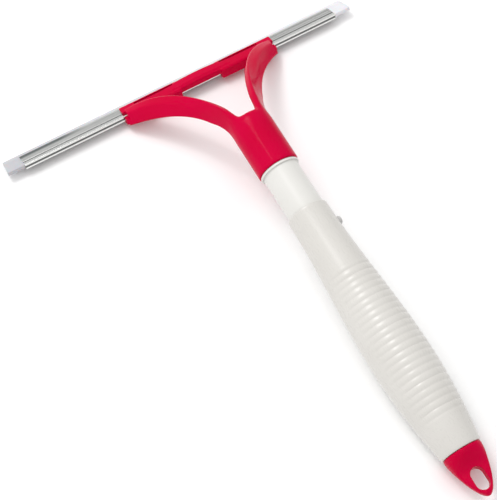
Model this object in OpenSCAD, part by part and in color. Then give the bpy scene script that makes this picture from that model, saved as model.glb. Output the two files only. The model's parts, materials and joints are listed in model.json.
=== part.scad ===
// Window squeegee: a tapered white handle, a snap-locked neck, a red forked head,
// a metal rail held in the head's jaws, and a rubber blade held in the rail.
// It lies on the blade's edge and the belly of the grip, with the blade along X.

/* [Blade] */
// Length of the rubber blade
blade_len = 250; // [180:1:400]
// How far the rubber lip stands out of the rail
lip_proud = 4.5; // [3:0.5:7]
// Thickness of the rubber lip at its root
lip_t = 1.7; // [1.2:0.1:1.8]

/* [Rail] */
// Length of the metal rail
rail_len = 226; // [160:1:390]
// Depth of the rail, from its back to its mouth
rail_depth = 11; // [10:0.5:14]
// Thickness of the rail across its two flat faces
rail_h = 4; // [3.8:0.1:5]
// Wall thickness of the rail
rail_wall = 0.6; // [0.5:0.1:0.7]
// How far the rail is pushed through the head, to the left
rail_shift = 11.6; // [0:0.1:30]

/* [Head] */
// Width of the head over its two jaws
head_w = 110; // [100:1:140]
// Slope of the head's two arms down to the rail
head_tilt = 33; // [28:1:38]
// Slope of the rail and the blade down to the glass side
blade_tilt = 20; // [14:1:26]
// Outer diameter of the socket
socket_d = 26.4; // [26:0.2:32]
// Depth of the socket that takes the neck
socket_depth = 34; // [28:1:38]
// Length of each jaw along the rail
jaw_len = 40.4; // [30:0.1:46]

/* [Handle] */
// Slope of the handle, rising to the head
handle_slope = 6.9; // [5:0.1:12]
// Outer diameter of the neck tube
neck_d = 23; // [20:0.5:23]
// Length of neck that shows between the socket and the grip
neck_show = 32.5; // [20:0.5:45]
// Length of the grip
grip_len = 163.5; // [140:0.5:200]
// Largest diameter of the grip
belly_d = 35.8; // [33:0.1:40]
// Number of finger ribs round the grip
rib_count = 26; // [10:1:26]
// Spacing of the finger ribs
rib_pitch = 4.05; // [3.5:0.05:4.5]

/* [Cap] */
// Length of the cap that shows behind the grip
cap_len = 28.5; // [24:0.5:40]
// Width of the hanging hole
hang_w = 8.4; // [6:0.2:10]
// Length of the hanging hole
hang_len = 13.4; // [12:0.2:16]

/* [Hidden] */
$fn = 64;

fit = 0.08;                 // radial clearance of the sliding fits
gap = 0.3;                  // clearance between pieces that only pass by
head_x = rail_shift;        // the head's middle plane; the blade is centred on x = 0

lip_tip = rail_depth / 2 + lip_proud;
lip_edge_t = lip_t - 0.6;
lip_droop = 1.2;            // the lip's edge is moulded this far below its root
bead_h = rail_h - 2 * rail_wall - 2 * fit;
bead_depth = 6;
slot_h = 2;                 // open mouth of the rail, narrower than the bead
groove = 0.25;              // depth of the rail's lengthwise grooves
groove_w = 1.2;
groove_y = -2.5;

jaw_in = rail_h / 2 + 0.1;  // half the height of the jaw's throat
jaw_out = jaw_in + 1.6;
jaw_back = -rail_depth / 2 - 0.1;
jaw_rear = -8.5;
jaw_front = 2.4;
jaw_x = head_w / 2 - jaw_len / 2;
key_w = 0.8;                // ribs in the jaws that sit in the rail's grooves
key_tip = rail_h / 2 - groove + 0.1;
bar_rear = -6.8;
bar_front = 1.1;
bar_foot = -0.4;
slit_len = 0.7 * jaw_len;   // slit that leaves a springy lip over the rail
slit_w = 1.7;
slit_y = 0.35;

socket_r = socket_d / 2;
neck_r = neck_d / 2;
neck_in = 9.3;
neck_tail = 45;             // neck length hidden in the grip
collar_r = neck_r + 1.1;    // collar on which the socket's mouth stops
collar_w = 1.4;
grip_at = neck_show;
grip_end = grip_at + grip_len;
belly_at = 137;             // belly of the grip, from the socket's mouth
belly_r = belly_d / 2;
nose_r = 12.9;              // grip radius at its front edge
tail_r = 12.4;              // grip radius at the cap
rib_from = 74.5;
rib_cut = 0.45;
button_at = 45.5;           // snap button, from the socket's mouth
button_r = 2.7;
button_top = 15.3;
spring_t = 0.8;
spring_w = 6;
leg_x = 7.6;                // the spring's legs, from the handle's axis to their outer faces
far_x = 8;
cap_r = 12;
tab_half = 2.9;             // half thickness of the cap's flat tab
plug_r = 10.1;
plug_len = 12;

// The lip's edge rests on z = 0, and the origin lies under the middle of the length
rail_to_mouth = 103.4;
lip_reach = lip_tip * cos(blade_tilt) + (lip_edge_t / 2 - lip_droop) * sin(blade_tilt);
handle_reach = (grip_end + cap_len) * cos(handle_slope) + tab_half * sin(handle_slope);
rail_y = (rail_to_mouth + handle_reach - lip_reach) / 2;
rail_z = lip_tip * sin(blade_tilt) + (lip_droop + lip_edge_t / 2) * cos(blade_tilt);
mouth_y = rail_y - rail_to_mouth;
mouth_z = rail_z + 31.4;

// Places children on the sloping rail; +Y runs out of its mouth
module on_rail(x = 0) {
    translate([x, rail_y, rail_z]) rotate([-blade_tilt, 0, 0]) children();
}

// Places children in the plane of the head's two arms
module on_arms() {
    translate([head_x, rail_y, rail_z]) rotate([-head_tilt, 0, 0]) children();
}

// Places children on the handle: +Z runs from the socket's mouth to the cap, +Y is up
module on_handle() {
    translate([head_x, mouth_y, mouth_z]) rotate([90 + handle_slope, 0, 0]) children();
}

// Extrudes a cross-section drawn as (depth, height) along X, centred
module along_x(length) {
    rotate([90, 0, 90]) linear_extrude(length, center = true) children();
}

// Point on a cubic curve
function bezier(p, t) = pow(1 - t, 3) * p[0] + 3 * t * pow(1 - t, 2) * p[1]
    + 3 * t * t * (1 - t) * p[2] + pow(t, 3) * p[3];

function unit(v) = v / norm(v);

// Signed power, for rounded-rectangle rings
function spow(v, e) = sign(v) * pow(abs(v), e);

// Grip radius at a distance from the socket's mouth
function grip_r(s) = s < belly_at
    ? nose_r + (belly_r - nose_r) * (1 - cos(180 * (s - grip_at) / (belly_at - grip_at))) / 2
    : tail_r + (belly_r - tail_r) * (1 - pow((s - belly_at) / (grip_end - belly_at), 1.9));

// Inner and outer edges of the right arm, in the head's frame
arm_inner = [[4.8, -86, -1.5], [9.5, -66, 9.5], [23, -22, 13.5], [53, -2.6, 3.4]];
arm_outer = [[12, -83, -15.5], [12.9, -64, -2], [27, -42, 6], [55, -10, -4.5]];
arm_t = 5;
arm_steps = 14;
arm_sides = 12;

function arm_point(i, j) =
    let (t = i / arm_steps,
         inner = bezier(arm_inner, t),
         outer = bezier(arm_outer, t),
         ahead = bezier(arm_inner, t + 0.01) + bezier(arm_outer, t + 0.01) - inner - outer,
         across = (outer - inner) / 2,
         below = unit(cross(ahead, across)),
         a = 360 * (j + 0.5) / arm_sides)
    (inner + outer) / 2 + across * spow(cos(a), 0.6)
        + below * (spow(sin(a), 0.6) * arm_t / 2 + arm_t / 2 - 0.8);

module arm() {
    rings = [for (i = [0:arm_steps], j = [0:arm_sides - 1]) arm_point(i, j)];
    walls = [for (i = [0:arm_steps - 1], j = [0:arm_sides - 1])
        let (k = (j + 1) % arm_sides, a = i * arm_sides, b = a + arm_sides)
        each [[a + j, b + j, b + k], [a + j, b + k, a + k]]];
    first = [for (j = [0:arm_sides - 1]) arm_sides - 1 - j];
    last = [for (j = [0:arm_sides - 1]) arm_steps * arm_sides + j];
    polyhedron(rings, concat([[for (j = first) j]], walls, [last]), convexity = 4);
}

// Cross-section of one jaw: back wall, two cheeks and the ribs that key into the rail
module jaw_section() {
    difference() {
        translate([jaw_rear, -jaw_out]) square([jaw_front - jaw_rear, 2 * jaw_out]);
        translate([jaw_back, -jaw_in]) square([20, 2 * jaw_in]);
        translate([0, -jaw_out - 1]) square([20, jaw_out]);
    }
    for (side = [0, 1])
        mirror([0, side]) translate([groove_y - key_w / 2, key_tip]) square([key_w, jaw_out - key_tip - 1]);
}

module jaw() {
    difference() {
        along_x(jaw_len) jaw_section();
        translate([-slit_len / 8, slit_y, jaw_out]) cube([slit_len, slit_w, 4], center = true);
    }
}

// Bar that joins the jaws over the rail's back edge
module crossbar_section() {
    polygon([[bar_front, jaw_in], [bar_front, jaw_out], [bar_rear + 1.6, jaw_out],
             [bar_rear, jaw_out - 1.2], [bar_rear, bar_foot], [jaw_back, bar_foot], [jaw_back, jaw_in]]);
}

module socket_body() {
    top = socket_depth + 3;
    rotate_extrude() polygon([[0, -top], [socket_r - 3, -top], [socket_r - 0.8, -top + 2.2],
                              [socket_r, -top + 5], [socket_r, -0.8], [socket_r - 0.8, 0], [0, 0]]);
}

module head_frame() {
    color("crimson") difference() {
        union() {
            on_rail(head_x) {
                along_x(head_w - 2 * jaw_len + 2) crossbar_section();
                for (side = [0, 1]) mirror([side, 0, 0]) translate([jaw_x, 0, 0]) jaw();
            }
            difference() {
                on_arms() for (side = [0, 1]) mirror([side, 0, 0]) arm();
                // way of the rail past the arms' ends
                on_rail(head_x) translate([-head_w, jaw_back, -jaw_in]) cube([2 * head_w, 30, 2 * jaw_in]);
            }
            on_handle() socket_body();
        }
        on_handle() translate([0, 0, -socket_depth]) cylinder(r = neck_r + fit, h = socket_depth + 1);
    }
}

module rail_section() {
    h = rail_h / 2;
    w = rail_wall;
    difference() {
        translate([-rail_depth / 2, -h]) square([rail_depth, rail_h]);
        // hollow for the bead, and the open mouth for the lip
        translate([-rail_depth / 2 + w, -h + w]) square([bead_depth + 2 * gap, rail_h - 2 * w]);
        translate([0, -slot_h / 2]) square([rail_depth, slot_h]);
        for (side = [-1, 1])
            translate([groove_y, side * h]) square([groove_w, 2 * groove], center = true);
        translate([-rail_depth / 2, 0]) square([2 * groove, groove_w], center = true);
    }
}

module rail() {
    color("silver") on_rail() along_x(rail_len) rail_section();
}

module rubber_blade() {
    x0 = -rail_depth / 2 + rail_wall + gap;
    x1 = x0 + bead_depth;
    root = rail_depth / 2 + 0.4;
    color("lavender") on_rail() along_x(blade_len) polygon([
        [x0, -bead_h / 2], [x1, -bead_h / 2], [x1, -lip_t / 2], [root, -lip_t / 2],
        [lip_tip, -lip_droop - lip_edge_t / 2], [lip_tip, lip_edge_t / 2 - lip_droop],
        [root, lip_t / 2], [x1, lip_t / 2], [x1, bead_h / 2], [x0, bead_h / 2]]);
}

module neck_tube() {
    head_end = 0.5 - socket_depth;
    grip_side = grip_at + neck_tail + 0.5;
    color("ivory") on_handle() difference() {
        rotate_extrude() polygon([
            [neck_in, head_end], [neck_r - 1, head_end], [neck_r, head_end + 1.5],
            [neck_r, gap], [collar_r, gap], [collar_r, gap + collar_w], [neck_r, gap + collar_w],
            [neck_r, grip_side - 1], [neck_r - 0.8, grip_side], [neck_in, grip_side]]);
        translate([0, 0, button_at]) rotate([0, 90, 0]) cylinder(r = button_r + 0.1, h = 20);
    }
}

module grip() {
    tail = grip_end - plug_len;
    bore = neck_r + fit;
    wall = 2.3;
    ribs = [for (i = [0:rib_count - 1], k = [0:3])
        let (s = rib_from + rib_pitch * (i + k / 4))
        [grip_r(s) - (k == 1 || k == 2 ? 0 : rib_cut), s]];
    front = [for (i = [0:6]) let (s = grip_at + (rib_from - 1 - grip_at) * i / 6) [grip_r(s), s]];
    rib_to = rib_from + rib_pitch * rib_count;
    back = [for (i = [0:6]) let (s = rib_to + (grip_end - rib_to) * i / 6) [grip_r(s), s]];
    inside = [[plug_r, grip_end], [plug_r, tail], [belly_r - 4.5, tail - 18],
              [belly_r - wall - 0.6, belly_at], [belly_r - 4, 105], [bore, 86], [bore, grip_at]];
    color("ivory") on_handle() difference() {
        rotate_extrude() polygon(concat(front, ribs, back, inside));
        translate([0, 0, button_at]) rotate([0, 90, 0]) cylinder(r = button_r + 0.2, h = 30);
    }
}

module snap_button() {
    color("silver") on_handle() translate([0, 0, button_at]) rotate([0, 90, 0]) {
        translate([0, 0, leg_x]) cylinder(r = button_r, h = button_top - 1 - leg_x);
        translate([0, 0, button_top - 1]) cylinder(r1 = button_r, r2 = button_r - 1, h = 1);
        // flange that stops the button inside the neck
        translate([0, 0, leg_x]) cylinder(r = button_r + 0.8, h = 0.7);
    }
}

// Leg of the flat spring that carries the button, and that flexes with it
module spring_leg() {
    color("gray") on_handle() translate([leg_x - spring_t, -spring_w / 2, button_at - 7])
        cube([spring_t, spring_w, 27 - gap]);
}

// Bend and far leg of the flat spring, which bear on the neck's wall
module spring_bend() {
    bend_r = (leg_x + far_x) / 2;
    color("gray") on_handle() translate([0, -spring_w / 2, button_at + 20]) {
        translate([-far_x, 0, -22]) cube([spring_t, spring_w, 22]);
        translate([(leg_x - far_x) / 2, 0, 0]) rotate([-90, 0, 0]) difference() {
            cylinder(r = bend_r, h = spring_w);
            translate([0, 0, -1]) cylinder(r = bend_r - spring_t, h = spring_w + 2);
            translate([-20, 0, -1]) cube([40, 20, spring_w + 2]);
        }
    }
}

module cap_outline() {
    hull() {
        circle(r = cap_r);
        translate([0, cap_len - 6.5]) circle(r = 6.5);
    }
}

module end_cap() {
    hole_mid = cap_len - 3.6 - hang_len / 2;
    color("crimson") on_handle() translate([0, 0, grip_end]) {
        difference() {
            intersection() {
                translate([0, 0, 0.1]) cylinder(r = cap_r, h = cap_len);
                rotate([90, 0, 0]) linear_extrude(40, center = true) cap_outline();
                rotate([90, 0, 90]) linear_extrude(40, center = true) polygon([
                    [-cap_r, 0], [cap_r, 0], [cap_r - 2, 3], [tab_half, 12], [tab_half, cap_len],
                    [-tab_half, cap_len], [-tab_half, 12], [2 - cap_r, 3]]);
            }
            for (end = [-1, 1])
                translate([0, 0, hole_mid + end * (hang_len - hang_w) / 2])
                    rotate([90, 0, 0]) cylinder(r = hang_w / 2, h = 30, center = true);
            translate([0, 0, hole_mid]) cube([hang_w, 30, hang_len - hang_w], center = true);
        }
        translate([0, 0, 0.2 - plug_len]) difference() {
            cylinder(r = plug_r - fit, h = plug_len);
            translate([0, 0, -1]) cylinder(r = plug_r - 2.1, h = plug_len - 1);
        }
    }
}

head_frame();
rail();
rubber_blade();
neck_tube();
snap_button();
spring_leg();
spring_bend();
grip();
end_cap();
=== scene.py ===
import json
import math

import bmesh
import bpy
import numpy as np
from mathutils import Matrix, Vector


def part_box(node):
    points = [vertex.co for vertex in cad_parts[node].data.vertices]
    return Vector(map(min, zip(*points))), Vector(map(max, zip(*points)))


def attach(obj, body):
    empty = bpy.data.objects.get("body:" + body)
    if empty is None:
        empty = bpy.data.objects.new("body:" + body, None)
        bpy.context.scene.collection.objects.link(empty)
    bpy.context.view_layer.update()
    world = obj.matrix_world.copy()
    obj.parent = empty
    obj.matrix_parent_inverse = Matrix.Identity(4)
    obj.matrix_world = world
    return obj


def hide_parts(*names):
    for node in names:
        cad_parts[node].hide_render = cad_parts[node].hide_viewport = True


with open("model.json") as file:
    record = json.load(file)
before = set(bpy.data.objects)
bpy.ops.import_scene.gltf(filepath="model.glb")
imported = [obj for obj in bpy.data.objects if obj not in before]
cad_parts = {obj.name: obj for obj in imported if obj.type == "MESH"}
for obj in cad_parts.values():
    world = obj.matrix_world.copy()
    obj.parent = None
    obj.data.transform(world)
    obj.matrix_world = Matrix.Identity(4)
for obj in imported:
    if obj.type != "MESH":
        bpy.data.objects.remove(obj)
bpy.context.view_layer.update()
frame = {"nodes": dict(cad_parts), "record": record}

# ---------------------------------------------------------------------------
# The frame, in millimetres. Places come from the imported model.
# ---------------------------------------------------------------------------
MM = 0.001
BLADE_TILT = math.radians(20)
ARMS_TILT = math.radians(33)
NECK_MIDDLE = 22.25           # middle of the neck tube, behind the socket's mouth

joints = {j["name"]: j for j in frame["record"]["behaviour"]["joints"]}
box = {name: np.array(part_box(name)) / MM for name in frame["nodes"]}
middle = {name: b.mean(axis=0) for name, b in box.items()}
length = {name: b[1][0] - b[0][0] for name, b in box.items()}

to_head = np.array(joints["head_pull_off"]["axis"], float)
to_head /= np.linalg.norm(to_head)
handle_up = np.cross([1.0, 0.0, 0.0], to_head)
mouth = middle["neck_tube"] + to_head * NECK_MIDDLE
rail_middle = middle["rail"]
head_middle = np.array([mouth[0], rail_middle[1], rail_middle[2]])


def tilted(points, tilt, origin):
    """Points (along the blade, towards the glass, up) on a plane that slopes down to the glass."""
    p = np.atleast_2d(np.array(points, float))
    c, s = math.cos(tilt), math.sin(tilt)
    return origin + np.column_stack([p[:, 0], p[:, 1] * c + p[:, 2] * s, p[:, 2] * c - p[:, 1] * s])


def on_rail(points):
    return tilted(points, BLADE_TILT, rail_middle)


def on_jaws(points):
    return tilted(points, BLADE_TILT, head_middle)


def on_arms(points):
    return tilted(points, ARMS_TILT, head_middle)


def on_handle(points):
    """Points (right, up, distance behind the socket's mouth)."""
    p = np.atleast_2d(np.array(points, float))
    return mouth + np.outer(p[:, 0], [1, 0, 0]) + np.outer(p[:, 1], handle_up) - np.outer(p[:, 2], to_head)


# ---------------------------------------------------------------------------
# Mesh helpers
# ---------------------------------------------------------------------------
def smoothstep(low, high, x):
    t = np.clip((np.asarray(x, float) - low) / (high - low), 0, 1)
    return t * t * (3 - 2 * t)


def grid_faces(rows, columns, wrap_rows=False):
    """Quads over a grid whose columns wrap round."""
    faces = []
    for i in range(rows if wrap_rows else rows - 1):
        a, b = i * columns, (i + 1) % rows * columns
        for j in range(columns):
            k = (j + 1) % columns
            faces.append((a + j, a + k, b + k, b + j))
    return faces


def loft(rings):
    """A closed solid through rings that all have the same number of points."""
    n = len(rings[0])
    faces = grid_faces(len(rings), n)
    faces.append(tuple(range(n - 1, -1, -1)))
    faces.append(tuple(range((len(rings) - 1) * n, len(rings) * n)))
    return np.vstack(rings), faces


def round_angles(sides):
    return np.arange(sides) * 2 * math.pi / sides


def turned(profile, sides=96, bump=None):
    """A closed ring of (radius, distance) points, turned about the handle. bump adds to the radius."""
    angles = round_angles(sides)
    rows = []
    for k, (radius, distance) in enumerate(profile):
        r = radius + (bump(k, distance, angles) if bump else 0)
        rows.append(np.column_stack([r * np.sin(angles), r * np.cos(angles), np.full(sides, distance)]))
    return on_handle(np.vstack(rows)), grid_faces(len(rows), sides, wrap_rows=True)


def turned_solid(profile, sides=96):
    """A solid whose profile of (radius, distance) starts and ends near the axis."""
    angles = round_angles(sides)
    rings = [on_handle(np.column_stack([r * np.sin(angles), r * np.cos(angles), np.full(sides, d)]))
             for r, d in profile]
    return loft(rings)


def rounded(corners, radius, steps=4):
    """A closed outline with each corner replaced by an arc-like curve."""
    points = []
    n = len(corners)
    for i in range(n):
        here = np.array(corners[i], float)
        before, after = np.array(corners[i - 1], float), np.array(corners[(i + 1) % n], float)
        to_before, to_after = before - here, after - here
        r = radius if np.isscalar(radius) else radius[i]
        a = here + to_before * min(r / np.linalg.norm(to_before), 0.45)
        b = here + to_after * min(r / np.linalg.norm(to_after), 0.45)
        for k in range(steps + 1):
            t = k / steps
            points.append((1 - t) ** 2 * a + 2 * t * (1 - t) * here + t * t * b)
    return np.array(points)


def stations_between(ends, inner, count):
    """Stations of (place along the blade, inset): one end's, even steps, then the other end's."""
    steps = [(x, 0.0) for x in np.linspace(-inner, inner, count)]
    return ends + steps + [(-x, inset) for x, inset in reversed(ends)]


def along_blade(outline, stations, place, slant=0.0):
    """Extrudes a (depth, height) outline along the blade, through stations."""
    centre = outline.mean(axis=0)
    size = np.ptp(outline, axis=0)
    rings = []
    for x, inset in stations:
        ring = centre + (outline - centre) * (1 - 2 * inset / size)
        lean = slant * (ring[:, 0] - centre[0]) * np.sign(x)
        rings.append(place(np.column_stack([x + lean, ring])))
    return loft(rings)


def join(parts):
    """Several (points, faces) as one."""
    points, faces, start = [], [], 0
    for p, f in parts:
        points.append(p)
        faces += [tuple(i + start for i in face) for face in f]
        start += len(p)
    return np.vstack(points), faces


def add_mesh(name, points, faces):
    mesh = bpy.data.meshes.new(name)
    mesh.from_pydata((np.asarray(points) * MM).tolist(), [], faces)
    mesh.update()
    bm = bmesh.new()
    bm.from_mesh(mesh)
    bmesh.ops.recalc_face_normals(bm, faces=bm.faces)
    bm.to_mesh(mesh)
    bm.free()
    obj = bpy.data.objects.new(name, mesh)
    bpy.context.scene.collection.objects.link(obj)
    return obj


def apply_modifiers(obj):
    """Replaces the object's mesh with its evaluated one."""
    depsgraph = bpy.context.evaluated_depsgraph_get()
    mesh = bpy.data.meshes.new_from_object(obj.evaluated_get(depsgraph))
    obj.modifiers.clear()
    obj.data = mesh
    mesh.name = obj.name


def fuse(obj, voxel):
    """Makes one skin of overlapping solids."""
    remesh = obj.modifiers.new("fuse", "REMESH")
    remesh.mode = "VOXEL"
    remesh.voxel_size = voxel * MM
    apply_modifiers(obj)


def cut(obj, points, faces):
    """Takes a solid away from a piece."""
    cutter = add_mesh("cutter", points, faces)
    boolean = obj.modifiers.new("cut", "BOOLEAN")
    boolean.object = cutter
    boolean.operation = "DIFFERENCE"
    boolean.solver = "EXACT"
    apply_modifiers(obj)
    bpy.data.objects.remove(cutter)


def vertices(mesh):
    flat = np.empty(len(mesh.vertices) * 3)
    mesh.vertices.foreach_get("co", flat)
    return flat.reshape(-1, 3)


def relax(obj, weight, rounds, keep_size=True):
    """Smooths the skin where weight says, without shrinking it if keep_size."""
    mesh = obj.data
    at = vertices(mesh)
    edges = np.empty(len(mesh.edges) * 2, int)
    mesh.edges.foreach_get("vertices", edges)
    a, b = edges.reshape(-1, 2).T
    count = np.bincount(edges, minlength=len(at))

    def neighbour_sum(axis):
        return np.bincount(a, at[b, axis], len(at)) + np.bincount(b, at[a, axis], len(at))

    factors = (0.5, -0.53) if keep_size else (0.5,)
    for _ in range(rounds):
        for factor in factors:
            total = np.column_stack([neighbour_sum(axis) for axis in range(3)])
            at += (total / count[:, None] - at) * (factor * weight)[:, None]
    mesh.vertices.foreach_set("co", at.ravel())
    mesh.update()


def clean(obj, near=0.004):
    """Merges the slivers that cuts leave behind, where points are near mm apart."""
    bm = bmesh.new()
    bm.from_mesh(obj.data)
    bmesh.ops.remove_doubles(bm, verts=bm.verts, dist=near * MM)
    bmesh.ops.dissolve_degenerate(bm, edges=bm.edges, dist=near * MM)
    bmesh.ops.triangulate(bm, faces=[f for f in bm.faces if len(f.verts) > 4])
    bmesh.ops.dissolve_degenerate(bm, edges=bm.edges, dist=near * MM)
    bm.to_mesh(obj.data)
    bm.free()


def shade(obj, angle):
    """Smooth shading with sharp edges over an angle."""
    mesh = obj.data
    mesh.polygons.foreach_set("use_smooth", [True] * len(mesh.polygons))
    mesh.set_sharp_from_angle(angle=math.radians(angle))


def finish_piece(obj, material, body, nodes, angle=35):
    clean(obj)
    shade(obj, angle)
    obj.data.materials.clear()
    obj.data.materials.append(material)
    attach(obj, body)
    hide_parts(*nodes)


# ---------------------------------------------------------------------------
# Materials
# ---------------------------------------------------------------------------
class Nodes:
    """Short calls for building a material's nodes."""

    def __init__(self, name):
        self.material = bpy.data.materials.new(name)
        self.material.use_nodes = True
        self.tree = self.material.node_tree
        self.shader = self.tree.nodes["Principled BSDF"]
        self.place = self.add("ShaderNodeTexCoord").outputs["Object"]

    def add(self, kind, **inputs):
        node = self.tree.nodes.new(kind)
        for key, value in inputs.items():
            node.inputs[key.replace("_", " ")].default_value = value
        return node

    def link(self, a, b):
        self.tree.links.new(a, b)

    def noise(self, scale, detail=3.0, stretch=(1, 1, 1), roughness=0.5):
        mapping = self.add("ShaderNodeMapping", Scale=stretch)
        self.link(self.place, mapping.inputs["Vector"])
        node = self.add("ShaderNodeTexNoise", Scale=scale, Detail=detail, Roughness=roughness)
        self.link(mapping.outputs["Vector"], node.inputs["Vector"])
        return node.outputs["Fac"]

    def ramp(self, value, low, high, at=(0.3, 0.7)):
        node = self.add("ShaderNodeMapRange")
        node.inputs["From Min"].default_value = at[0]
        node.inputs["From Max"].default_value = at[1]
        node.inputs["To Min"].default_value = low
        node.inputs["To Max"].default_value = high
        self.link(value, node.inputs["Value"])
        return node.outputs["Result"]

    def colours(self, value, stops):
        node = self.add("ShaderNodeValToRGB")
        ramp = node.color_ramp
        while len(ramp.elements) < len(stops):
            ramp.elements.new(0.5)
        for element, (position, colour) in zip(ramp.elements, stops):
            element.position = position
            element.color = (*colour, 1)
        self.link(value, node.inputs["Fac"])
        return node.outputs["Color"]

    def bump(self, heights):
        """Chains (height, strength, distance in mm) bumps into the shader's normal."""
        normal = None
        for value, strength, distance in heights:
            node = self.add("ShaderNodeBump", Strength=strength, Distance=distance * MM)
            self.link(value, node.inputs["Height"])
            if normal:
                self.link(normal, node.inputs["Normal"])
            normal = node.outputs["Normal"]
        self.link(normal, self.shader.inputs["Normal"])

    def along(self, direction, origin, span):
        """0 to 1 over a span in mm along a direction."""
        dot = self.add("ShaderNodeVectorMath")
        dot.operation = "DOT_PRODUCT"
        self.link(self.place, dot.inputs[0])
        dot.inputs[1].default_value = direction
        start = float(np.dot(direction, origin))
        return self.ramp(dot.outputs["Value"], 0, 1, at=((start + span[0]) * MM, (start + span[1]) * MM))

    def product(self, a, b):
        node = self.add("ShaderNodeVectorMath")
        node.operation = "MULTIPLY"
        self.link(a, node.inputs[0])
        self.link(b, node.inputs[1])
        return node.outputs["Vector"]

    def set(self, **values):
        for key, value in values.items():
            self.shader.inputs[key.replace("_", " ")].default_value = value


def moulded_plastic(name, dark, light, roughness, gloss=0.5):
    """Injection-moulded plastic: faint flow clouding, orange peel and fine handling marks."""
    n = Nodes(name)
    clouds = n.noise(38, detail=4)
    n.link(n.colours(clouds, [(0.3, dark), (0.7, light)]), n.shader.inputs["Base Color"])
    marks = n.noise(900, detail=6, stretch=(1, 0.25, 1), roughness=0.7)
    n.link(n.ramp(marks, roughness[0], roughness[1]), n.shader.inputs["Roughness"])
    peel = n.noise(420, detail=2)
    grain = n.noise(3200, detail=2)
    n.bump([(peel, 0.10, 0.12), (grain, 0.05, 0.03)])
    n.set(IOR=1.49, Specular_IOR_Level=gloss)
    return n.material


# Brightness of the painted light on the rail's top, from its back edge to its mouth: painted highlights,
# painted shade over its groove and a painted dark reflection by its mouth
RAIL_PAINTED_LIGHT = [(0.0, 0.84), (0.21, 0.84), (0.235, 0.24), (0.31, 0.20), (0.335, 0.74), (0.44, 0.66),
              (0.51, 0.60), (0.53, 0.50), (0.56, 0.64), (0.93, 0.62), (1.0, 0.45)]
# and of the painted highlights and painted shade over the groove on its back, from the bottom to the top
BACK_PAINTED_LIGHT = [(0.0, 0.4), (0.08, 1.0), (0.32, 1.0), (0.36, 0.16), (0.64, 0.16), (0.70, 1.0), (1.0, 1.0)]
RAIL_HALF_DEPTH, RAIL_HALF_HEIGHT = 5.5, 2.0
WHOLE = (1.0, 1.0, 1.0)       # a colour that changes nothing when it is multiplied in


def drawn_metal():
    """Rolled aluminium with painted highlights, painted shade and painted reflections in bands along the
    rail, fine lines and a cloudy sheen.
    """
    n = Nodes("rail_metal")
    lines = n.noise(2600, detail=5, stretch=(0.012, 1, 1), roughness=0.65)
    cloud = n.noise(60, detail=3, stretch=(0.25, 1, 1))
    out_of_mouth = np.array([0, math.cos(BLADE_TILT), -math.sin(BLADE_TILT)])
    up = np.array([0, math.sin(BLADE_TILT), math.cos(BLADE_TILT)])
    depth = n.along(out_of_mouth, rail_middle, (-RAIL_HALF_DEPTH, RAIL_HALF_DEPTH))
    height = n.along(up, rail_middle, (-RAIL_HALF_HEIGHT, RAIL_HALF_HEIGHT))
    # painted highlights and painted shade, in bands across the top and up the back
    bands = n.colours(depth, [(at, (g, g * 1.01, g * 0.99)) for at, g in RAIL_PAINTED_LIGHT])
    back = n.colours(height, [(at, (g, g, g)) for at, g in BACK_PAINTED_LIGHT])
    fine = n.colours(lines, [(0.25, (0.82, 0.82, 0.82)), (0.75, WHOLE)])
    # painted dark reflection: toward its left end, the side by its mouth is darker
    to_left = n.along((-1, 0, 0), rail_middle, (66, 84))
    to_mouth = n.along(out_of_mouth, rail_middle, (1.2, 3.2))
    painted_dark_reflection = n.colours(n.product(to_left, to_mouth), [(0.0, WHOLE), (1.0, (0.26, 0.29, 0.29))])
    metal = n.product(n.product(bands, back), n.product(fine, painted_dark_reflection))
    n.link(metal, n.shader.inputs["Base Color"])
    n.link(n.ramp(cloud, 0.20, 0.32), n.shader.inputs["Roughness"])
    n.bump([(lines, 0.05, 0.02), (cloud, 0.08, 0.10)])
    n.set(Metallic=1.0, Anisotropic=0.3)
    return n.material


def pale_rubber():
    """Pale rubber with a matt skin, a trace of lavender and fine dust, greyer toward its left end."""
    n = Nodes("blade_rubber")
    cloud = n.noise(90, detail=4)
    to_right = n.along((1, 0, 0), rail_middle, (-115, 115))
    greyer_to_left = n.colours(to_right, [(0.0, (0.67, 0.67, 0.68)), (1.0, WHOLE)])
    tone = n.colours(cloud, [(0.3, (0.69, 0.69, 0.72)), (0.7, (0.76, 0.76, 0.79))])
    n.link(n.product(tone, greyer_to_left), n.shader.inputs["Base Color"])
    dust = n.noise(1800, detail=5)
    n.link(n.ramp(dust, 0.42, 0.62), n.shader.inputs["Roughness"])
    skin = n.noise(700, detail=3, stretch=(0.2, 1, 1))
    n.bump([(skin, 0.12, 0.06), (dust, 0.05, 0.03)])
    n.set(Subsurface_Weight=0.25, IOR=1.5)
    n.shader.inputs["Subsurface Scale"].default_value = 1.5 * MM
    return n.material


def spring_strip():
    """Rolled spring steel."""
    n = Nodes("spring_steel")
    lines = n.noise(1800, detail=4, stretch=(1, 0.05, 1))
    n.link(n.colours(lines, [(0.3, (0.30, 0.30, 0.32)), (0.7, (0.48, 0.48, 0.50))]),
           n.shader.inputs["Base Color"])
    n.link(n.ramp(lines, 0.22, 0.4), n.shader.inputs["Roughness"])
    n.bump([(lines, 0.1, 0.03)])
    n.set(Metallic=1.0)
    return n.material


def studio_floor():
    """Pale seamless paper."""
    n = Nodes("studio_floor")
    cloud = n.noise(3, detail=2)
    n.link(n.colours(cloud, [(0.3, (0.94, 0.94, 0.94)), (0.7, (0.96, 0.96, 0.96))]),
           n.shader.inputs["Base Color"])
    n.set(Roughness=0.8, Specular_IOR_Level=0.1)
    return n.material


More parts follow.
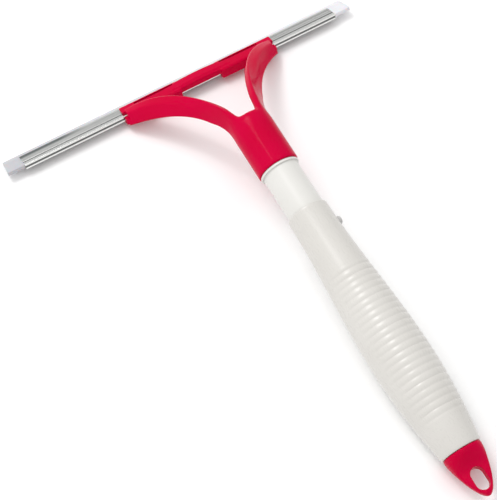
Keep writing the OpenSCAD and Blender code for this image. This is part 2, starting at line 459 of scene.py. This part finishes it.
RED = moulded_plastic("red_plastic", (0.535, 0.0002, 0.033), (0.580, 0.0004, 0.043),
                      roughness=(0.08, 0.14), gloss=0.045)
WHITE = moulded_plastic("white_plastic", (0.632, 0.612, 0.576), (0.664, 0.645, 0.610),
                        roughness=(0.24, 0.34))
NECK_WHITE = moulded_plastic("neck_plastic", (0.700, 0.688, 0.655), (0.732, 0.722, 0.690),
                             roughness=(0.28, 0.38))
GREY = moulded_plastic("button_plastic", (0.50, 0.49, 0.48), (0.56, 0.55, 0.54), roughness=(0.34, 0.5))
METAL = drawn_metal()
RUBBER = pale_rubber()
STEEL = spring_strip()


# ---------------------------------------------------------------------------
# Head
# ---------------------------------------------------------------------------
HEAD_HALF = 55.0              # half the head's width
JAW_LEN = 40.4
JAW_IN, JAW_OUT = 2.1, 3.7    # throat and outside of the jaws, from the rail's middle
JAW_BACK, JAW_REAR = -5.6, -8.5
BAR_FRONT, BAR_REAR, BAR_FOOT = 1.1, -6.8, -0.4
SOCKET_R = 13.2
SOCKET_TOP = 38.0
SOCKET_DEPTH = 34.0
NECK_R = 11.5
HEAD_VOXEL = 0.45
# Spans along and across a jaw
SLIT = (17, 45), (-0.5, 1.2)          # leaves a springy lip over the rail
NOTCH = (52.8, 58), (-9.5, -3.6)      # at the jaw's end

# Edges of the right arm, from the socket to the end of its jaw
ARM_INNER = [[7.5, -87.5, -0.5], [12.6, -66, 10.5], [23, -21, 16.0], [53, -2.6, 3.9]]
ARM_OUTER = [[12.7, -85.5, -17.5], [12.9, -66, -2], [27, -42, 6.5], [55, -10, -4.5]]
ARM_STEPS = 48


def bezier(control, t):
    p = np.array(control, float)
    return ((1 - t) ** 3 * p[0] + 3 * t * (1 - t) ** 2 * p[1] + 3 * t * t * (1 - t) * p[2] + t ** 3 * p[3])


def arm_outline(width, crown, crease, soft, thick):
    """Cross-section of an arm: across from its inner edge, and out from its face."""
    corners = [[0, 0], [crease * width, crown], [width, 0], [width - 0.3, -1.6], [width - 1.2, -thick],
               [1.2, -thick], [0.2, -1.8]]
    return rounded(corners, [0.9, soft, 0.7, 0.7, 1.2, 1.2, 0.9], steps=6)


def arm(side):
    """One arm, from its root round the socket to the end of its jaw."""
    rings = []
    for i in range(ARM_STEPS + 1):
        t = i / ARM_STEPS
        inner, outer = bezier(ARM_INNER, t), bezier(ARM_OUTER, t)
        ahead = bezier(ARM_INNER, t + 0.01) + bezier(ARM_OUTER, t + 0.01) - inner - outer
        across = outer - inner
        width = np.linalg.norm(across)
        across = across / width
        out = np.cross(across, ahead)
        out /= np.linalg.norm(out)
        to_jaw = float(smoothstep(0.35, 0.9, t))
        crown = 0.9 + 1.7 * to_jaw
        section = arm_outline(width, crown, 0.48 - 0.12 * to_jaw, 4.0 - 3.2 * to_jaw, 4.6)
        ring = inner + np.outer(section[:, 0], across) + np.outer(section[:, 1] - crown * 0.3, out)
        ring[:, 0] *= side
        ring = on_arms(ring)
        # the root is wrapped round the socket, flush with it
        root = float(smoothstep(0.2, 0.05, t))
        from_mouth = ring - mouth
        axis_at = mouth + np.outer(from_mouth @ to_head, to_head)
        spoke = ring - axis_at
        radius = SOCKET_R + 0.05 + np.minimum(section[:, 1] - 0.2, 0)
        wrapped = axis_at + spoke / np.linalg.norm(spoke, axis=1)[:, None] * radius[:, None]
        rings.append(ring + (wrapped - ring) * root)
    return loft(rings)


def jaw(side):
    """Back wall and two cheeks, wrapped round the rail."""
    outline = [[0.0, -JAW_OUT], [0.0, -JAW_IN], [JAW_BACK, -JAW_IN], [JAW_BACK, JAW_IN], [2.4, JAW_IN],
               [2.4, JAW_OUT - 0.2], [1.9, JAW_OUT], [JAW_REAR + 1, JAW_OUT], [JAW_REAR, JAW_OUT - 1],
               [JAW_REAR, -JAW_OUT + 0.8], [JAW_REAR + 0.8, -JAW_OUT]]
    ends = sorted((side * (HEAD_HALF - JAW_LEN), side * HEAD_HALF))
    return loft([on_jaws(np.array([[x, y, z] for y, z in outline])) for x in np.linspace(*ends, 21)])


def bar():
    """Bar over the rail's back edge, bowed up a little in the middle."""
    outline = [[BAR_FRONT, JAW_IN], [BAR_FRONT, JAW_OUT - 0.3], [BAR_FRONT - 0.4, JAW_OUT],
               [BAR_REAR + 1.8, JAW_OUT], [BAR_REAR, JAW_OUT - 1.4], [BAR_REAR, BAR_FOOT],
               [JAW_BACK, BAR_FOOT], [JAW_BACK, JAW_IN]]
    reach = HEAD_HALF - JAW_LEN + 10
    rings = []
    for x in np.linspace(-reach, reach, 41):
        bow = 1.2 * math.cos(x / reach * math.pi / 2)
        rings.append(on_jaws(np.array([[x, y, z + (bow if z > JAW_IN + 0.1 else 0)] for y, z in outline])))
    return loft(rings)


def socket():
    return turned_solid([(0.4, -SOCKET_TOP), (9.6, -SOCKET_TOP), (11.6, -SOCKET_TOP + 0.5),
                         (12.7, -SOCKET_TOP + 1.7), (SOCKET_R, -SOCKET_TOP + 4), (SOCKET_R, -1.0),
                         (SOCKET_R - 0.2, -0.5), (SOCKET_R - 0.8, -0.1), (0.4, -0.1)])


def soften_head(obj):
    """Fillets where the arms leave the socket, and a soft skin elsewhere."""
    at = vertices(obj.data) / MM
    back = (mouth - at) @ to_head
    past_rail = at[:, 1] - head_middle[1]
    near_root = smoothstep(12, 3, np.abs(back + SOCKET_TOP))
    upper = smoothstep(-12, -26, past_rail)
    mouth_rim = smoothstep(-6, -2, back)
    relax(obj, np.clip(0.35 + upper - mouth_rim, 0.2, 1), 10)
    relax(obj, near_root * smoothstep(-30, -50, past_rail), 90, keep_size=False)


def rail_way():
    """Way of the rail past the arms' ends, a little inside the throat."""
    back, foot, top = JAW_BACK + 0.05, -JAW_IN + 0.05, JAW_IN - 0.05
    outline = np.array([[back, foot], [12, foot], [12, top], [back, top]])
    reach = HEAD_HALF + 5
    return loft([on_jaws(np.column_stack([np.full(4, x), outline])) for x in (-reach, reach)])


def neck_bore():
    bore, mouth_r = NECK_R + 0.08, NECK_R + 0.7
    return turned_solid([(0.3, -SOCKET_DEPTH), (bore, -SOCKET_DEPTH), (bore, -0.9), (mouth_r, 0.2),
                         (mouth_r, 4), (0.3, 4)], sides=128)


def jaw_opening(side, along, across):
    """A slit or notch down through the top of one jaw."""
    x0, x1 = sorted((side * along[0], side * along[1]))
    y0, y1 = across
    outline = rounded([[x0, y0], [x1, y0], [x1, y1], [x0, y1]], 0.4, steps=3)
    heights = [np.full(len(outline), z) for z in (1.0, JAW_OUT + 6)]
    return loft([on_jaws(np.column_stack([outline, z])) for z in heights])


def head():
    """One moulding of arms, jaws, bar and socket, with its openings cut after it is fused."""
    parts = [arm(-1), arm(1), jaw(-1), jaw(1), bar(), socket()]
    obj = add_mesh("head_moulding", *join(parts))
    fuse(obj, HEAD_VOXEL)
    soften_head(obj)
    cut(obj, *rail_way())
    cut(obj, *neck_bore())
    for side in (-1, 1):
        for along, across in (SLIT, NOTCH):
            cut(obj, *jaw_opening(side, along, across))
    finish_piece(obj, RED, "head", ["head_frame"], angle=50)


# ---------------------------------------------------------------------------
# Rail and rubber
# ---------------------------------------------------------------------------
def rail():
    """Channel with a flat back, a stepped top and lips pinched on to the rubber."""
    top = [[-5.5, 1.8], [-5.3, 2.0], [-3.1, 2.0], [-2.9, 1.75], [-2.1, 1.75], [-1.9, 2.0], [0.1, 2.0],
           [0.5, 1.78], [3.0, 1.62], [3.3, 1.62], [5.3, 1.30], [5.5, 1.05]]
    inside = [[5.4, 0.98], [1.8, 0.98], [1.8, 1.36], [-4.8, 1.36]]
    upper = top + inside
    lower = [[y, -z] for y, z in reversed(upper)]
    groove = [[-5.5, -0.7], [-5.22, -0.5], [-5.22, 0.5], [-5.5, 0.7]]
    corners = upper + lower + groove
    outline = rounded(corners, 0.18, steps=2)
    half = length["rail"] / 2
    ends = [(-half, 0.12), (-half + 0.15, 0.0)]
    stations = stations_between(ends, half - 4, 60)
    obj = add_mesh("rail_channel", *along_blade(outline, stations, on_rail))
    finish_piece(obj, METAL, "rail", ["rail"], angle=30)


def rubber():
    """Bead in the rail and a lip that thins to its wiping edge."""
    corners = [[-4.6, -1.3], [1.4, -1.3], [1.6, -0.84], [5.9, -0.84], [10.0, -1.72], [10.0, -0.68],
               [5.9, 0.84], [1.6, 0.84], [1.4, 1.3], [-4.6, 1.3]]
    outline = rounded(corners, [0.5, 0.4, 0.1, 0.8, 0.1, 0.1, 0.8, 0.1, 0.4, 0.5], steps=4)
    half = length["rubber_blade"] / 2
    ends = [(-half + 0.9, 0.25), (-half + 1.0, 0.06), (-half + 1.2, 0.0)]
    stations = stations_between(ends, half - 3, 90)
    obj = add_mesh("rubber_strip", *along_blade(outline, stations, on_rail, slant=-0.08))
    finish_piece(obj, RUBBER, "blade", ["rubber_blade"], angle=35)


# ---------------------------------------------------------------------------
# Neck, button, grip and cap
# ---------------------------------------------------------------------------
GRIP_AT, GRIP_END = 32.5, 196.0
BELLY_AT, BELLY_R = 137.0, 17.9
NOSE_R, TAIL_R = 12.9, 12.4
RIB_FROM, RIB_PITCH, RIB_COUNT, RIB_DEEP = 74.5, 4.05, 26, 0.42
RIB_SIDE = math.radians(20)   # the ribs are centred this far round to the right
BUTTON_AT, BUTTON_R, BUTTON_TOP = 45.5, 2.7, 15.3
COLLAR_R, COLLAR_W = NECK_R + 1.1, 1.4
PLUG_R, PLUG_LEN = 10.1, 12.0
CAP_R, CAP_LEN, TAB_HALF = 12.0, 28.5, 2.9
CAP_VOXEL = 0.3
HANG_R, HANG_STRAIGHT = 4.2, 2.5      # the hole's round ends, and half the straight between them
HANG_AT = GRIP_END + CAP_LEN - 10.3   # the hole's middle, behind the socket's mouth


def grip_radius(s):
    if s < BELLY_AT:
        rise = (1 - math.cos(math.pi * (s - GRIP_AT) / (BELLY_AT - GRIP_AT))) / 2
        return NOSE_R + (BELLY_R - NOSE_R) * rise
    return TAIL_R + (BELLY_R - TAIL_R) * (1 - ((s - BELLY_AT) / (GRIP_END - BELLY_AT)) ** 1.9)


def along_button(profile, sides=48):
    """A solid from a profile of (radius, distance right), round the button's line."""
    angles = round_angles(sides)
    rings = []
    for r, x in profile:
        along, up = BUTTON_AT + r * np.sin(angles), r * np.cos(angles)
        rings.append(on_handle(np.column_stack([np.full(sides, x), up, along])))
    return loft(rings)


def neck():
    """Tube with a collar that the socket stops on."""
    r, bore = NECK_R - 0.02, 9.35
    profile = [(bore, -33.2), (r - 1.2, -33.4), (r - 0.5, -33.0), (r - 0.1, -32.2), (r, -31.2)]
    profile += [(r, s) for s in np.linspace(-26, 0.25, 9)]
    profile += [(COLLAR_R - 0.2, 0.32), (COLLAR_R - 0.02, 0.5), (COLLAR_R - 0.02, 0.2 + COLLAR_W),
                (COLLAR_R - 0.15, 0.3 + COLLAR_W), (r, 0.3 + COLLAR_W)]
    profile += [(r, s) for s in np.linspace(2.5, 76, 26)]
    profile += [(r - 0.7, 77.9), (bore, 77.9)]
    profile += [(bore, s) for s in np.linspace(70, -28, 15)]
    obj = add_mesh("neck", *turned(profile))
    cut(obj, *along_button([(BUTTON_R + 0.1, 5), (BUTTON_R + 0.1, 20)]))
    finish_piece(obj, NECK_WHITE, "handle", ["neck_tube"])


def button():
    """Snap button with a domed top and a flange inside the neck."""
    r, top = BUTTON_R - 0.02, BUTTON_TOP
    profile = [(0.2, 7.62), (r + 0.7, 7.62), (r + 0.8, 7.8), (r + 0.8, 8.2), (r + 0.6, 8.3),
               (r + 0.05, 8.35), (r, 8.6), (r, top - 1.3), (r - 0.15, top - 0.9), (r - 0.5, top - 0.4),
               (r - 1.0, top - 0.15), (r - 1.8, top - 0.03), (0.2, top)]
    obj = add_mesh("button", *along_button(profile))
    finish_piece(obj, GREY, "button", ["snap_button"])


def grip():
    """Tapered handle with finger ribs on top that fade out round its sides."""
    rib_to = RIB_FROM + RIB_PITCH * RIB_COUNT
    front = [(NECK_R + 0.6, GRIP_AT + 0.02), (NOSE_R - 0.35, GRIP_AT + 0.02),
             (NOSE_R - 0.1, GRIP_AT + 0.12), (NOSE_R, GRIP_AT + 0.45)]
    outside = [(grip_radius(s), s) for s in np.linspace(GRIP_AT + 1.2, RIB_FROM - 2, 20)]
    outside += [(grip_radius(s), s) for s in np.linspace(RIB_FROM - 1, rib_to + 1, RIB_COUNT * 10)]
    outside += [(grip_radius(s), s) for s in np.linspace(rib_to + 2, GRIP_END - 0.8, 12)]
    tail = [(TAIL_R - 0.05, GRIP_END - 0.4), (TAIL_R - 0.3, GRIP_END - 0.08), (TAIL_R - 0.6, GRIP_END)]
    end = GRIP_END - PLUG_LEN
    bore = NECK_R + 0.08
    inside = [(PLUG_R, GRIP_END), (PLUG_R, end), (BELLY_R - 4.5, end - 18), (BELLY_R - 2.9, BELLY_AT),
              (BELLY_R - 4, 105), (bore, 86), (bore, GRIP_AT + 2.4), (NECK_R + 0.6, GRIP_AT + 2.0)]
    first = len(front)
    last = first + len(outside)

    def ribs(k, s, angles):
        if not first <= k < last:
            return 0.0
        turn = np.degrees(np.abs((angles - RIB_SIDE + math.pi) % (2 * math.pi) - math.pi))
        wave = abs(math.sin(math.pi * (s - RIB_FROM) / RIB_PITCH)) ** 0.75
        ends = float(smoothstep(RIB_FROM - 0.5, RIB_FROM + 5, s) * smoothstep(rib_to + 0.5, rib_to - 6, s))
        across = smoothstep(86, 58, turn)
        return -RIB_DEEP * (1 - wave) * ends * across

    obj = add_mesh("grip_shell", *turned(front + outside + tail + inside, sides=128, bump=ribs))
    cut(obj, *along_button([(BUTTON_R + 0.2, 5), (BUTTON_R + 0.2, 25)]))
    finish_piece(obj, WHITE, "handle", ["grip"], angle=40)


def cap_skin(sides=96):
    """Flattens from the grip's round end into a tab."""
    angles = round_angles(sides)
    c, d = np.cos(angles), np.sin(angles)
    rings = []
    for s in np.concatenate([[0.02, 0.25, 0.7], np.linspace(1.4, CAP_LEN - 0.5, 46), [CAP_LEN - 0.15]]):
        x = s / CAP_LEN
        rim = CAP_R - 0.45 * float(smoothstep(0.8, 0.0, s))
        half_width = rim * (1 - x ** 1.5) ** 0.62
        flat = float(smoothstep(0.5, 13.5, s)) ** 0.8
        half_thick = rim * (1 - flat) + (TAB_HALF + 0.25 * (1 - x)) * flat
        half_thick = min(half_thick, half_width * 0.98)
        power = 2 / (2 + 1.6 * flat)
        right = half_width * np.sign(d) * np.abs(d) ** power
        up = half_thick * np.sign(c) * np.abs(c) ** power
        rings.append(on_handle(np.column_stack([right, up, np.full(sides, GRIP_END + 0.1 + s)])))
    return loft(rings)


def cap_plug():
    """Stub that reaches from inside the cap to the end of the grip's bore."""
    at, r = GRIP_END - PLUG_LEN, PLUG_R - 0.1
    return turned_solid([(7.6, GRIP_END - 6), (7.8, at + 0.5), (9.3, at + 0.3), (r, at + 1.5),
                         (r, GRIP_END + 1.0), (3.0, GRIP_END + 1.2)])


def hanging_hole():
    """A solid with round ends, through the tab."""
    turn = np.linspace(0, math.pi, 25)
    across, along = HANG_R * np.cos(turn), HANG_STRAIGHT + HANG_R * np.sin(turn)
    right = np.concatenate([across, -across])
    behind = HANG_AT + np.concatenate([along, -along])
    return loft([on_handle(np.column_stack([right, np.full(len(right), up), behind])) for up in (-16, 16)])


def cap():
    """Cap with a plug for the grip and a hanging hole in its tab."""
    obj = add_mesh("cap", *join([cap_skin(), cap_plug()]))
    fuse(obj, CAP_VOXEL)
    cut(obj, *hanging_hole())
    fuse(obj, CAP_VOXEL)
    relax(obj, np.ones(len(obj.data.vertices)), 8)
    # soften the hole's rim
    at = vertices(obj.data) / MM - mouth
    past_straight = np.maximum(np.abs(-at @ to_head - HANG_AT) - HANG_STRAIGHT, 0)
    from_wall = np.abs(np.hypot(at[:, 0], past_straight) - HANG_R)
    relax(obj, smoothstep(3.0, 1.0, from_wall), 6, keep_size=False)
    finish_piece(obj, RED, "cap", ["end_cap"], angle=60)


# ---------------------------------------------------------------------------
# Studio
# ---------------------------------------------------------------------------
# Brightness of the lit tent, from the horizon and below it to overhead
TENT = ((0.0, 0.55), (0.35, 0.72), (0.75, 0.95), (1.0, 1.0))
TENT_STRENGTH = 1.05
TENT_LEAN = math.radians(20)          # its brightest part leans to the left
LIGHTS_AT = (-0.3, 0.8, 1.4)          # metres, behind and above the blade


def area_light(name, size, power):
    """A rectangular light that faces the part's middle."""
    light = bpy.data.lights.new(name, "AREA")
    light.shape = "RECTANGLE"
    light.size, light.size_y = size
    light.energy = power
    obj = bpy.data.objects.new(name, light)
    bpy.context.scene.collection.objects.link(obj)
    obj.location = LIGHTS_AT
    obj.rotation_euler = (-Vector(LIGHTS_AT)).to_track_quat("-Z", "Y").to_euler()


def tent():
    """A world that is brighter overhead than at the horizon."""
    world = bpy.data.worlds.new("studio")
    world.use_nodes = True
    links, nodes = world.node_tree.links, world.node_tree.nodes
    background = nodes["Background"]
    background.inputs["Strength"].default_value = TENT_STRENGTH
    direction = nodes.new("ShaderNodeTexCoord")
    lean = nodes.new("ShaderNodeMapping")
    lean.inputs["Rotation"].default_value = (0, TENT_LEAN, 0)
    split = nodes.new("ShaderNodeSeparateXYZ")
    ramp = nodes.new("ShaderNodeValToRGB")
    links.new(direction.outputs["Generated"], lean.inputs["Vector"])
    links.new(lean.outputs["Vector"], split.inputs["Vector"])
    links.new(split.outputs["Z"], ramp.inputs["Fac"])
    links.new(ramp.outputs["Color"], background.inputs["Color"])
    while len(ramp.color_ramp.elements) < len(TENT):
        ramp.color_ramp.elements.new(0.5)
    for element, (position, grey) in zip(ramp.color_ramp.elements, TENT):
        element.position = position
        element.color = (grey, grey, grey, 1)
    bpy.context.scene.world = world


def studio():
    """Paper floor, lit tent and two lights at one place: a broad one and a narrow one for the glints."""
    half, below = 4000, -0.05
    corners = [[-half, -half, below], [half, -half, below], [half, half, below], [-half, half, below]]
    floor = add_mesh("floor", corners, [(0, 1, 2, 3)])
    floor.data.materials.append(studio_floor())
    tent()
    area_light("key", (0.8, 0.6), 7)
    area_light("glint", (0.12, 0.4), 2.5)
    bpy.context.scene.view_settings.view_transform = "Standard"


CAMERA_AT = (-0.2100, -0.3242, 0.7411)
AZIMUTH, ELEVATION, ROLL = math.radians(-27.6), math.radians(61.31), math.radians(-2.94)
LENS_HEIGHTS = 2.8                    # focal length over the height of the sensor


def camera():
    """Stands above the handle's left side and looks down along it, with a slight roll."""
    data = bpy.data.cameras.new("camera")
    data.sensor_fit = "VERTICAL"
    data.sensor_height = 24
    data.lens = LENS_HEIGHTS * data.sensor_height
    obj = bpy.data.objects.new("camera", data)
    bpy.context.scene.collection.objects.link(obj)
    turn = Matrix.Rotation(AZIMUTH, 4, "Z") @ Matrix.Rotation(math.pi / 2 - ELEVATION, 4, "X")
    obj.matrix_world = Matrix.Translation(CAMERA_AT) @ turn @ Matrix.Rotation(ROLL, 4, "Z")
    bpy.context.scene.camera = obj


head()
rail()
rubber()
neck()
button()
grip()
cap()
for name in ("spring_leg", "spring_bend"):
    node = frame["nodes"][name]
    node.data.materials.clear()
    node.data.materials.append(STEEL)
studio()
camera()
